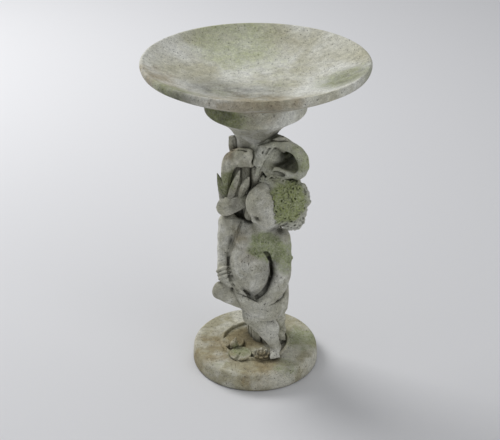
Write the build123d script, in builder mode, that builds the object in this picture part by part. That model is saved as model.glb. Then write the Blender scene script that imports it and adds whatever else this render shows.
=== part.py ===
"""Cast-stone bird bath: a round basin on a child figure standing before a sheaf of water-plant leaves.

All sizes are in millimetres. +Z is up, the origin is the centre of the plinth's underside, and the
figure stands on the -Y side of the leaf trunk. The basin drops over a loose steel pin, so it turns
and lifts off. The pedestal is one casting: its nodes are trimmed so that they meet face to face.
"""

import os
from math import acos, cos, degrees, radians, sin, sqrt

from build123d import *

# ---- basin ----
basin_radius = 215.0
basin_height = 104.0
basin_hollow_depth = 44.0
rim_band_height = 17.0
rim_band_inset = 4.0
rim_lip_width = 8.0
boss_radius = 98.0
boss_height = 42.0
boss_flare = 6.0
boss_edge_radius = 9.0

# ---- steel cast into the basin and the pedestal ----
bar_radius = 2.5
hoop_inset = 26.0
hoop_drop = 19.0
spoke_count = 4
spoke_inner_radius = 24.0
spoke_cover = 12.0
core_bar_radius = 6.0
core_bar_cover = 12.0

# ---- locating pin ----
pin_radius = 6.0
pin_length = 70.0
pin_clearance = 0.5

# ---- pedestal ----
plinth_radius = 131.0
plinth_height = 37.0
plinth_edge_radius = 8.0
column_height = 519.0
neck_height = 70.0
neck_waist_radius = 36.0
neck_flare_radius = 46.0
neck_flare_drop = 37.0
neck_head_radius = 80.0
neck_bead_height = 7.0
trunk_top_radius = 36.0
trunk_root_radius = 31.0
trunk_root_place = (24.0, 26.0)

# ---- figure: its places are given for a child of canon_height and follow figure_height ----
canon_height = 405.0
figure_height = 405.0

# ---- plants ----
hood_wall = 9.0
hood_depth = 56.0
hood_half_width = 53.0
hood_neck_lap = 32.0
hood_hair_lap = 6.0
blade_thickness = 9.0
blade_stand_off = 12.0
pond_rim_radius = 76.0
pond_rim_width = 9.0
pond_rim_height = 5.0
pad_thickness = 6.0

figure_scale = figure_height / canon_height
column_top = plinth_height + column_height
neck_bottom = column_top - neck_height
rim_top = column_top + basin_height


def place(x, y, z):
    """A point of the figure, measured from the plinth's top in a child of canon_height."""
    return Vector(x, y, z) * figure_scale + Vector(0, 0, plinth_height)


def girth(radius):
    """A radius of the figure, at its present height."""
    return radius * figure_scale


def limb(start, end, start_radius, end_radius):
    """A tapered limb with round ends, turned about the line from start to end."""
    run = end - start
    length = run.length
    lean = (start_radius - end_radius) / length
    touch = degrees(acos(lean))
    rise = sqrt(1 - lean * lean)
    along = run.normalized()
    across = along.cross(Vector(0, 0, 1) if abs(along.Z) < 0.9 else Vector(1, 0, 0)).normalized()
    with BuildPart() as turned:
        with BuildSketch(Plane(origin=start, x_dir=along, z_dir=across)):
            with BuildLine():
                CenterArc((0, 0), start_radius, touch, 180 - touch)
                Line(
                    (start_radius * lean, start_radius * rise),
                    (length + end_radius * lean, end_radius * rise),
                )
                CenterArc((length, 0), end_radius, 0, touch)
                Line((-start_radius, 0), (length + end_radius, 0))
            make_face()
        revolve(axis=Axis(start, run))
    return turned.part


def chain(*joints):
    """Limbs from joint to joint; a joint is its point and its radius. Each limb starts a little fuller."""
    fuller = 1.04
    with BuildPart() as joined:
        for (start, start_radius), (end, end_radius) in zip(joints, joints[1:]):
            add(limb(start, end, start_radius * fuller, end_radius))
    return joined.part


def trunk_centre(height):
    """The trunk's centre at a height above the plinth's top."""
    share = height / (neck_bottom - plinth_height)
    root_x, root_y = trunk_root_place
    return Vector(root_x * (1 - share), root_y * (1 - share), plinth_height + height)


def trunk_radius(height):
    share = height / (neck_bottom - plinth_height)
    return trunk_root_radius + (trunk_top_radius - trunk_root_radius) * share


def outward(azimuth):
    """The unit vector that points away from the trunk; azimuth 0 is +X and 90 is +Y."""
    return Vector(cos(radians(azimuth)), sin(radians(azimuth)), 0)


def biggest(part):
    """The piece's main solid, without chips that a cut left over."""
    return part.solids().sort_by(SortBy.VOLUME)[-1]


def trimmed(shape, *neighbours):
    """The shape's main solid with its neighbours taken out, so that they meet face to face."""
    with BuildPart() as piece:
        add(shape)
        near = [n for n in neighbours if touches(shape, n)]
        if near:
            add(near, mode=Mode.SUBTRACT)
    return biggest(piece.part)


def touches(shape, other):
    """True if the two shapes' boxes meet."""
    a, b = shape.bounding_box(), other.bounding_box()
    return all(
        low <= high
        for low, high in zip((*a.min, *b.min), (*b.max, *a.max))
    )


# ======== basin ========

boss_top = column_top + boss_height
hollow_bottom = rim_top - basin_hollow_depth
rim_underside = rim_top - rim_band_height
hollow_radius = basin_radius - rim_lip_width
hoop_radius = basin_radius - hoop_inset
hoop_height = rim_top - hoop_drop
spoke_inner_height = hollow_bottom - spoke_cover
spoke_knee_height = boss_top + spoke_cover

with BuildPart() as hoop:
    with BuildSketch(Plane.XZ):
        with Locations((hoop_radius, hoop_height)):
            Circle(bar_radius)
    revolve(axis=Axis.Z)

with BuildPart() as spoke:
    spoke_outer_radius = hoop_radius - bar_radius - 1.0
    with BuildLine() as spoke_path:
        Spline(
            (spoke_inner_radius, 0, spoke_inner_height),
            (boss_radius, 0, spoke_knee_height),
            (spoke_outer_radius, 0, hoop_height - 1.0),
        )
    with BuildSketch(Plane(origin=spoke_path.line @ 0, z_dir=spoke_path.line % 0)):
        Circle(bar_radius)
    sweep(path=spoke_path.line)

with BuildPart() as spokes:
    with PolarLocations(0, spoke_count):
        add(spoke.part)

with BuildPart() as basin:
    with BuildSketch(Plane.XZ):
        with BuildLine():
            foot = Line((0, column_top), (boss_radius - boss_edge_radius, column_top))
            boss_edge = RadiusArc(
                foot @ 1, (boss_radius, column_top + boss_edge_radius), -boss_edge_radius
            )
            boss_side = Spline(
                boss_edge @ 1,
                (boss_radius + boss_flare, boss_top),
                tangents=[(0.0, 1.0), (0.5, 1.0)],
            )
            underside = Spline(
                boss_side @ 1,
                (basin_radius - rim_band_inset, rim_underside),
                tangents=[(1.0, 0.3), (1.0, 0.6)],
            )
            band = Line(underside @ 1, (basin_radius, rim_top - rim_band_inset))
            crown = RadiusArc(band @ 1, (hollow_radius, rim_top), -rim_lip_width)
            hollow = Spline(
                crown @ 1,
                (0, hollow_bottom),
                tangents=[(-1.0, -0.62), (-1.0, 0.0)],
            )
            Line(hollow @ 1, foot @ 0)
        make_face()
    revolve(axis=Axis.Z)
    with Locations((0, 0, column_top)):
        Cylinder(
            pin_radius + pin_clearance,
            pin_length / 2 + pin_clearance,
            align=(Align.CENTER, Align.CENTER, Align.MIN),
            mode=Mode.SUBTRACT,
        )
    add([hoop.part, spokes.part], mode=Mode.SUBTRACT)

with BuildPart() as pin:
    with Locations((0, 0, column_top)):
        Cylinder(pin_radius, pin_length)
    chamfer(pin.edges().filter_by(GeomType.CIRCLE), 1.0)

# ======== plinth, core bar and neck ========

core_bar_foot = trunk_centre(core_bar_cover - plinth_height)
core_bar_head = trunk_centre(neck_bottom - plinth_height - core_bar_cover)

with BuildPart() as core_bar:
    core_run = core_bar_head - core_bar_foot
    with BuildSketch(Plane(origin=core_bar_foot, z_dir=core_run)):
        Circle(core_bar_radius)
    extrude(amount=core_run.length)

with BuildPart() as plinth:
    Cylinder(plinth_radius, plinth_height, align=(Align.CENTER, Align.CENTER, Align.MIN))
    fillet(plinth.edges().group_by(Axis.Z)[-1], plinth_edge_radius)
    chamfer(plinth.edges().group_by(Axis.Z)[0], 2.0)
    add(core_bar.part, mode=Mode.SUBTRACT)

with BuildPart() as neck:
    with BuildSketch(Plane.XZ):
        with BuildLine():
            base = Line((0, neck_bottom), (neck_waist_radius, neck_bottom))
            shaft = Line(base @ 1, (neck_waist_radius, neck_bottom + 9))
            cavetto = Spline(
                shaft @ 1,
                (neck_flare_radius, column_top - neck_flare_drop),
                (neck_head_radius, column_top - neck_bead_height),
                tangents=[(0, 1), (1, 0.6)],
            )
            bead = RadiusArc(cavetto @ 1, (neck_head_radius, column_top), neck_bead_height * 0.6)
            seat = Line(bead @ 1, (0, column_top))
            Line(seat @ 1, base @ 0)
        make_face()
    revolve(axis=Axis.Z)
    with Locations((0, 0, column_top)):
        Cylinder(
            pin_radius + pin_clearance,
            pin_length / 2 + pin_clearance,
            align=(Align.CENTER, Align.CENTER, Align.MAX),
            mode=Mode.SUBTRACT,
        )

# ======== figure ========

skull = place(38, -56, 352)
face = place(16, -70, 344)
chin = place(9, -82, 324)
nape = place(30, -48, 318)
throat = place(8, -46, 286)
hair_middle = place(54, -47, 354)
hair_radius = 54
chest = place(0, -42, 264)
belly = place(-13, -56, 211)
pelvis = place(8, -45, 135)
right_shoulder = place(-53, -28, 294)
right_elbow = place(-66, -42, 240)
right_wrist = place(-62, -64, 205)
right_fingers = place(-46, -80, 188)
left_shoulder = place(48, -38, 260)
left_elbow = place(55, -50, 186)
left_wrist = place(29, -74, 150)
left_fingers = place(8, -87, 136)
right_hip = place(-10, -48, 128)
right_knee = place(-64, -72, 165)
right_ankle = place(-22, -38, 100)
right_toes = place(8, -26, 84)
left_hip = place(28, -40, 118)
left_knee = place(-4, -76, 106)
left_ankle = place(43, -50, 22)
left_toes = place(39, -66, 9)

with BuildPart() as torso:
    add(chain((chest, girth(38)), (belly, girth(42)), (pelvis, girth(40))))
    add(limb(right_shoulder, left_shoulder, girth(20), girth(23)))
    add(limb(throat, nape, girth(19), girth(17)))

with BuildPart() as head:
    with Locations(skull):
        Sphere(girth(48))
    add(limb(face, chin, girth(30), girth(15)))
    add(torso.part, mode=Mode.SUBTRACT)

face_direction = (face - skull).normalized()
hair_edge = skull + face_direction * girth(2)
curl_count = 11

with BuildPart() as hair:
    with Locations(hair_middle):
        Sphere(girth(hair_radius))
    split(bisect_by=Plane(origin=hair_edge, z_dir=face_direction), keep=Keep.BOTTOM)
    with Locations(Plane(origin=hair_edge, z_dir=face_direction)):
        with PolarLocations(girth(48), curl_count):
            Sphere(girth(12))
    add([head.part, torso.part], mode=Mode.SUBTRACT)

right_leg_shape = chain(
    (right_hip, girth(30)),
    (right_knee, girth(20)),
    (right_ankle, girth(14)),
    (right_toes, girth(10)),
)
left_leg_shape = chain(
    (left_hip, girth(33)),
    (left_knee, girth(24)),
    (left_ankle, girth(16)),
    (left_toes, girth(10)),
)
right_arm_shape = chain(
    (right_shoulder, girth(19)),
    (right_elbow, girth(16)),
    (right_wrist, girth(13)),
    (right_fingers, girth(9)),
)
left_arm_shape = chain(
    (left_shoulder, girth(23)),
    (left_elbow, girth(20)),
    (left_wrist, girth(15)),
    (left_fingers, girth(9)),
)
right_leg = trimmed(right_leg_shape, torso.part, plinth.part)
left_leg = trimmed(left_leg_shape, torso.part, plinth.part, right_leg)
left_arm = trimmed(left_arm_shape, torso.part, right_leg, left_leg, hair.part)
right_arm = trimmed(right_arm_shape, torso.part, right_leg, left_leg, left_arm, head.part)


def arm_band(start, end, share, radius, width=9.0, proud=3.0):
    """A flat ring round an arm, at a share of the way from start to end."""
    run = (end - start).normalized()
    centre = start + (end - start) * share
    with BuildPart() as ring:
        with BuildSketch(Plane(origin=centre - run * girth(width / 2), z_dir=run)):
            Circle(girth(radius + proud))
        extrude(amount=girth(width))
    return ring.part


left_band = trimmed(
    arm_band(left_shoulder, left_elbow, 0.55, 21), left_arm, torso.part, left_leg, hair.part
)
right_band = trimmed(arm_band(right_elbow, right_wrist, 0.62, 16), right_arm, torso.part)

loincloth_shape = chain(
    (place(-34, -74, 176), girth(15)),
    (place(2, -84, 142), girth(19)),
    (place(46, -52, 128), girth(19)),
)
figure_parts = [torso.part, head.part, right_leg, left_leg, left_arm, right_arm]
loincloth = trimmed(loincloth_shape, *figure_parts, left_band, right_band)
figure = [*figure_parts, hair.part, left_band, right_band, loincloth]

# ======== leaves ========

with BuildPart() as trunk:
    for height in (0.0, neck_bottom - plinth_height):
        centre = trunk_centre(height)
        with BuildSketch(Plane(origin=centre)):
            Circle(trunk_radius(height))
    loft()
    add([*figure, core_bar.part], mode=Mode.SUBTRACT)
trunk_solid = biggest(trunk.part)

# The hood fills the height from the child's hair to the neck, so it follows both.
hood_brow = hair_middle.Z + girth(hair_radius) - hood_hair_lap
hood_crown = neck_bottom + hood_neck_lap
hood_half_height = (hood_crown - hood_brow) / 2
hood_centre = Vector(place(49, 0, 0).X, place(0, -46, 0).Y, (hood_crown + hood_brow) / 2)
hood_facing = outward(250)
hood_tail = 0.52
hood_sections = [(0.0, 1.0), (0.45, 0.97), (1.0, hood_tail)]


def hood_shell(inset):
    """The hood leaf's cup, with its mouth to the front and the figure's right, drawn in by an inset."""
    with BuildPart() as cup:
        for share, fullness in hood_sections:
            half_width = hood_half_width * fullness
            half_height = hood_half_height * fullness
            origin = hood_centre - hood_facing * share * (hood_depth - inset)
            with BuildSketch(Plane(origin=origin, x_dir=outward(340), z_dir=hood_facing)):
                Ellipse(half_width - inset, half_height - inset)
        loft()
    return cup.part


with BuildPart() as hood_shape:
    add(hood_shell(0.0))
    add(hood_shell(hood_wall), mode=Mode.SUBTRACT)
hood_leaf = trimmed(hood_shape.part, trunk_solid, neck.part, *figure)

# The folded leaf rises from beside the child's head and turns over against the neck.
folded_shape = chain(
    (place(-58, -10, 348), 10.0),
    (Vector(-55, -14, neck_bottom - 31), 15.0),
    (Vector(-37, -24, neck_bottom - 5), 16.0),
    (Vector(-4, -38, neck_bottom - 11), 9.0),
)
folded_leaf = trimmed(folded_shape, trunk_solid, neck.part, hood_leaf, *figure)


def trunk_sleeve(height, length, inner_gap, outer_gap):
    """A sleeve round the trunk that hugs it at first and stands off it towards the top."""
    with BuildPart() as sleeve:
        for gap, mode in ((outer_gap, Mode.ADD), (inner_gap, Mode.SUBTRACT)):
            with BuildPart(mode=mode):
                for share, stand_off in ((-0.02, 0.0), (0.45, 0.0), (1.02, blade_stand_off)):
                    level = height + share * length
                    with BuildSketch(Plane(origin=trunk_centre(level))):
                        Circle(trunk_radius(level) + stand_off + gap)
                loft(ruled=True)
    return sleeve.part


def blade(azimuth, height, length, width):
    """A pointed leaf that rises along the trunk from a height and stands off it at the tip."""
    axis_start = trunk_centre(height)
    rise = (trunk_centre(height + length) - axis_start).normalized()
    side = rise.cross(outward(azimuth)).normalized()
    with BuildPart() as leaf:
        with BuildSketch(Plane(origin=axis_start, x_dir=side, z_dir=side.cross(rise))):
            with BuildLine():
                right_edge = ThreePointArc((0, 0), (width / 2, length * 0.4), (0, length))
                ThreePointArc(right_edge @ 1, (-width / 2, length * 0.4), right_edge @ 0)
            make_face()
        extrude(amount=trunk_top_radius + blade_stand_off + 2 * blade_thickness)
        add(trunk_sleeve(height, length, -2.0, blade_thickness), mode=Mode.INTERSECT)
    return leaf.part


blade_settings = {
    "right_root_blade": (-4, 2, 108, 62),
    "left_tall_blade": (176, 256, 146, 46),
    "front_collar_blade": (206, 246, 108, 62),
    "back_left_blade": (146, 2, 300, 66),
    "back_right_blade": (40, 2, 330, 66),
    "back_blade": (92, 2, 400, 66),
}
blades = {}
for blade_name, settings in blade_settings.items():
    blades[blade_name] = trimmed(
        blade(*settings),
        trunk_solid,
        neck.part,
        plinth.part,
        hood_leaf,
        folded_leaf,
        *figure,
        *blades.values(),
    )

leaf_tips = {}
tip_azimuths = {"left_leaf_tip": 158, "right_leaf_tip": 18, "back_leaf_tip": 88}
for tip_name, azimuth in tip_azimuths.items():
    tip_root = Vector(0, 0, neck_bottom - 22) + outward(azimuth) * (trunk_top_radius - 4)
    tip_bend = Vector(0, 0, neck_bottom + 6) + outward(azimuth) * (neck_waist_radius + 10)
    tip_end = Vector(0, 0, neck_bottom + 18) + outward(azimuth) * (neck_waist_radius + 20)
    leaf_tips[tip_name] = trimmed(
        chain((tip_root, 12.0), (tip_bend, 11.0), (tip_end, 8.0)),
        trunk_solid,
        neck.part,
        hood_leaf,
        folded_leaf,
        *figure,
        *blades.values(),
        *leaf_tips.values(),
    )

plants = [trunk_solid, neck.part, hood_leaf, folded_leaf, *blades.values(), *leaf_tips.values()]
spear_bud = trimmed(
    chain((place(-50, -34, 356), 8.0), (place(-38, -40, 388), 9.0), (place(-27, -44, 412), 3.0)),
    *plants,
    *figure,
)
seed_pod = trimmed(
    chain((place(-34, -44, 368), 8.0), (place(-22, -44, 388), 9.0)),
    *plants,
    *figure,
    spear_bud,
)

# ======== pond on the plinth ========

standing = [trunk_solid, right_leg, left_leg, blades["right_root_blade"], blades["back_blade"]]
standing += [blades["back_left_blade"], blades["back_right_blade"]]

with BuildPart() as pond_rim_shape:
    with BuildSketch(Plane.XZ.offset(0)):
        with BuildLine():
            bank = Line(
                (pond_rim_radius - pond_rim_width, plinth_height),
                (pond_rim_radius, plinth_height),
            )
            ThreePointArc(
                bank @ 1,
                (pond_rim_radius - pond_rim_width / 2, plinth_height + pond_rim_height),
                bank @ 0,
            )
        make_face()
    revolve(axis=Axis.Z)
pond_rim = trimmed(pond_rim_shape.part, *standing)


def lily_pad(x, y, radius, edge_height=3.0, edge_width=4.0):
    """A round floating leaf with a turned-up edge, lying on the plinth."""
    with BuildPart() as pad:
        with Locations((x, y, plinth_height)):
            Cylinder(radius, pad_thickness, align=(Align.CENTER, Align.CENTER, Align.MIN))
        with Locations((x, y, plinth_height + pad_thickness)):
            Cylinder(
                radius - edge_width,
                edge_height,
                align=(Align.CENTER, Align.CENTER, Align.MAX),
                mode=Mode.SUBTRACT,
            )
    return pad.part


left_pad = trimmed(lily_pad(-46, -10, 24), pond_rim, *standing)
front_pad = trimmed(lily_pad(-30, -53, 24), pond_rim, left_pad, *standing)

with BuildPart() as lily_shape:
    lily_centre = Vector(12, -60, plinth_height)
    petal_count = 7
    add(limb(lily_centre, lily_centre + Vector(0, 0, 12), 8.0, 4.0))
    for petal in range(petal_count):
        heading = outward(petal * 360 / petal_count)
        petal_root = lily_centre + heading * 6
        petal_tip = lily_centre + heading * 16 + Vector(0, 0, 9)
        add(limb(petal_root, petal_tip, 6.0, 2.5))
water_lily = trimmed(lily_shape.part, plinth.part, pond_rim, front_pad, left_pad, *standing)

lily_bud = trimmed(
    limb(Vector(-43, -28, plinth_height + 8), Vector(-41, -22, plinth_height + 19), 9.0, 4.0),
    plinth.part,
    pond_rim,
    left_pad,
    front_pad,
    *standing,
)

# ======== hand the pieces out ========

pieces = {
    "basin": basin.part,
    "basin_hoop": hoop.part,
    "basin_spokes": spokes.part,
    "locating_pin": pin.part,
    "neck": neck.part,
    "core_bar": core_bar.part,
    "plinth": plinth.part,
    "leaf_trunk": trunk_solid,
    "hood_leaf": hood_leaf,
    "folded_leaf": folded_leaf,
    **blades,
    **leaf_tips,
    "spear_bud": spear_bud,
    "seed_pod": seed_pod,
    "child_torso": torso.part,
    "child_head": head.part,
    "child_hair": hair.part,
    "child_right_arm": right_arm,
    "child_left_arm": left_arm,
    "child_right_leg": right_leg,
    "child_left_leg": left_leg,
    "right_arm_band": right_band,
    "left_arm_band": left_band,
    "loincloth": loincloth,
    "pond_rim": pond_rim,
    "left_lily_pad": left_pad,
    "front_lily_pad": front_pad,
    "water_lily": water_lily,
    "lily_bud": lily_bud,
}

os.makedirs("parts", exist_ok=True)
for piece_name, piece in pieces.items():
    piece.label = piece_name
    export_step(piece, f"parts/{piece_name}.step")
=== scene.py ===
"""A weathered cast-stone bird bath: turned basin, neck and plinth, and a sculpted child before leaves.

Sizes are in millimetres, but those of Geometry Nodes, lights and the camera are in metres.
"""

import math
from functools import partial

import bmesh
import bpy
import numpy as np
from mathutils import Matrix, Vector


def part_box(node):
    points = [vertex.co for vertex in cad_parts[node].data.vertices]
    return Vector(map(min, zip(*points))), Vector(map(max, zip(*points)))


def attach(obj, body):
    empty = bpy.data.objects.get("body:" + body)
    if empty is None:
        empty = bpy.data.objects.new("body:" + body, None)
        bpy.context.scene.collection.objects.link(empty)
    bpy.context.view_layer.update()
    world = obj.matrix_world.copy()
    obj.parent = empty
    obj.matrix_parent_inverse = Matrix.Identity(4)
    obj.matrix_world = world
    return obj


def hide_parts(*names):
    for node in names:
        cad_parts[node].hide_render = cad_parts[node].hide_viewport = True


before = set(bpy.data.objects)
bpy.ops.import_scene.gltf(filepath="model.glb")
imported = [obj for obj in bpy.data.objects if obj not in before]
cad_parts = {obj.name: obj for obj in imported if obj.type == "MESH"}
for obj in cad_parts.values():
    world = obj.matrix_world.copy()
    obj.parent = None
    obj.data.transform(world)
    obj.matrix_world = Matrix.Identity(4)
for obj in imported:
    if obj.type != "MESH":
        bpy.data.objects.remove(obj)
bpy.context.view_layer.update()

MM = 0.001
MATH, REMAP, NOISE = "ShaderNodeMath", "ShaderNodeMapRange", "ShaderNodeTexNoise"
SMOOTHLY = {"interpolation_type": "SMOOTHSTEP"}


def corners(node):
    """A CAD node's lowest and highest corners at rest, in millimetres."""
    return [np.array(corner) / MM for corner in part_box(node)]


PLINTH_TOP = corners("plinth")[1][2]
SEAM = corners("neck")[1][2]
FIGURE_HEIGHT = corners("child_hair")[1][2] - PLINTH_TOP
FIGURE_CANON = 410.0
SCALE = FIGURE_HEIGHT / FIGURE_CANON


def spot(x, y, z):
    """A place on the sculpture, measured from the middle of the plinth's top."""
    return np.array([x * SCALE, y * SCALE, z * SCALE + PLINTH_TOP])


# ======== shared helpers ========


def put(tree, kind, inputs=(), **settings):
    """Adds a node with its settings, and its inputs in order or by name, each a value, a socket or a node."""
    made = tree.nodes.new(kind)
    for name, value in settings.items():
        setattr(made, name, value)
    for key, value in inputs.items() if isinstance(inputs, dict) else enumerate(inputs):
        if isinstance(value, bpy.types.Node):
            value = value.outputs[0]
        if isinstance(value, bpy.types.NodeSocket):
            tree.links.new(value, made.inputs[key])
        else:
            made.inputs[key].default_value = value
    return made


def linear(hex_colour):
    """An sRGB hex colour as the linear values that a shader wants."""
    parts = [int(hex_colour[i : i + 2], 16) / 255 for i in (1, 3, 5)]
    return tuple(p / 12.92 if p <= 0.04045 else ((p + 0.055) / 1.055) ** 2.4 for p in parts) + (1.0,)


def show(name, mesh, material, slot, *nodes, body="pedestal"):
    """Puts a finished mesh in the scene as a piece that stands for CAD nodes."""
    mesh.materials.clear()
    mesh.materials.append(material)
    mesh.polygons.foreach_set("use_smooth", np.ones(len(mesh.polygons), bool))
    piece = bpy.data.objects.new(name, mesh)
    bpy.context.scene.collection.objects.link(piece)
    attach(piece, body)
    if nodes:
        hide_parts(*nodes)
    return piece


def mesh_from(name, vertices, faces):
    """A mesh from points in millimetres and a list or array of faces."""
    mesh = bpy.data.meshes.new(name)
    mesh.from_pydata((np.asarray(vertices) * MM).tolist(), [], [list(map(int, f)) for f in faces])
    mesh.validate()
    return mesh


def worked(source, tree, **sizes):
    """Runs a Geometry Nodes tree over a mesh, with its named sizes, and gives back the plain result."""
    holder = bpy.data.objects.new("working", source)
    bpy.context.scene.collection.objects.link(holder)
    modifier = holder.modifiers.new("making", "NODES")
    modifier.node_group = tree
    sockets = {s.name: s.identifier for s in tree.interface.items_tree if s.item_type == "SOCKET"}
    for name, value in sizes.items():
        modifier[sockets[name.replace("_", " ").capitalize()]] = value
    made = bpy.data.meshes.new_from_object(holder.evaluated_get(bpy.context.evaluated_depsgraph_get()))
    bpy.data.objects.remove(holder)
    return made


def new_tree(name, **sockets):
    """An empty Geometry Nodes tree with geometry in and out and named sizes."""
    tree = bpy.data.node_groups.new(name, "GeometryNodeTree")
    tree.interface.new_socket("Geometry", in_out="INPUT", socket_type="NodeSocketGeometry")
    for socket, default in sockets.items():
        kind = {int: "NodeSocketInt", float: "NodeSocketFloat"}.get(type(default), "NodeSocketMaterial")
        title = socket.replace("_", " ").capitalize()
        made = tree.interface.new_socket(title, in_out="INPUT", socket_type=kind)
        if default is not None:
            made.default_value = default
    tree.interface.new_socket("Geometry", in_out="OUTPUT", socket_type="NodeSocketGeometry")
    return tree, put(tree, "NodeGroupInput").outputs


def finish_tree(tree, geometry, material):
    """Ends a tree in Realize Instances and Set Material."""
    real = put(tree, "GeometryNodeRealizeInstances", {"Geometry": geometry})
    dressed = put(tree, "GeometryNodeSetMaterial", {"Geometry": real.outputs[0], "Material": material})
    put(tree, "NodeGroupOutput", {"Geometry": dressed.outputs[0]})


def cell(fine):
    """The clay's grid spacing in millimetres, given back as it is."""
    return fine


# ======== clay: solids described by distance, for the sculpted pieces ================


def smooth_least(a, b, blend):
    """The lesser of two distances, with a fillet of about that blend where they meet."""
    share = np.clip(0.5 + 0.5 * (b - a) / blend, 0, 1)
    return b + (a - b) * share - blend * share * (1 - share)


class Ball:
    """An egg: a centre, three radii and the axes they lie along."""

    def __init__(self, centre, radii, axes=None):
        self.centre = np.asarray(centre, float)
        self.radii = np.ones(3) * radii
        self.axes = np.eye(3) if axes is None else np.asarray(axes, float)
        reach = np.sqrt(((self.axes * self.radii[:, None]) ** 2).sum(0))
        self.low = self.centre - reach
        self.high = self.centre + reach

    def distance(self, points):
        local = (points - self.centre) @ self.axes.T
        ratio = np.linalg.norm(local / self.radii, axis=-1)
        slope = np.linalg.norm(local / self.radii**2, axis=-1) + 1e-9
        return ratio * (ratio - 1) / slope


class Tube:
    """A round bar through several places, with a radius at each; flat below 1 presses it along one axis."""

    def __init__(self, places, radii, flat=1.0, press=(0, 1, 0)):
        self.places = [np.asarray(p, float) for p in places]
        self.radii = list(np.ones(len(self.places)) * radii)
        self.flat = flat
        self.press = np.asarray(press, float) / np.linalg.norm(press)
        reach = max(self.radii)
        self.low = np.min(self.places, 0) - reach
        self.high = np.max(self.places, 0) + reach

    def distance(self, points):
        least = None
        for i in range(len(self.places) - 1):
            start, end = self.places[i], self.places[i + 1]
            run = end - start
            share = np.clip(((points - start) @ run) / (run @ run), 0, 1)
            away = points - start - share[..., None] * run
            if self.flat != 1.0:
                away = away + ((away @ self.press) * (1 / self.flat - 1))[..., None] * self.press
            radius = self.radii[i] + (self.radii[i + 1] - self.radii[i]) * share
            gap = np.linalg.norm(away, axis=-1) - radius
            least = gap if least is None else np.minimum(least, gap)
        return least


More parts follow.
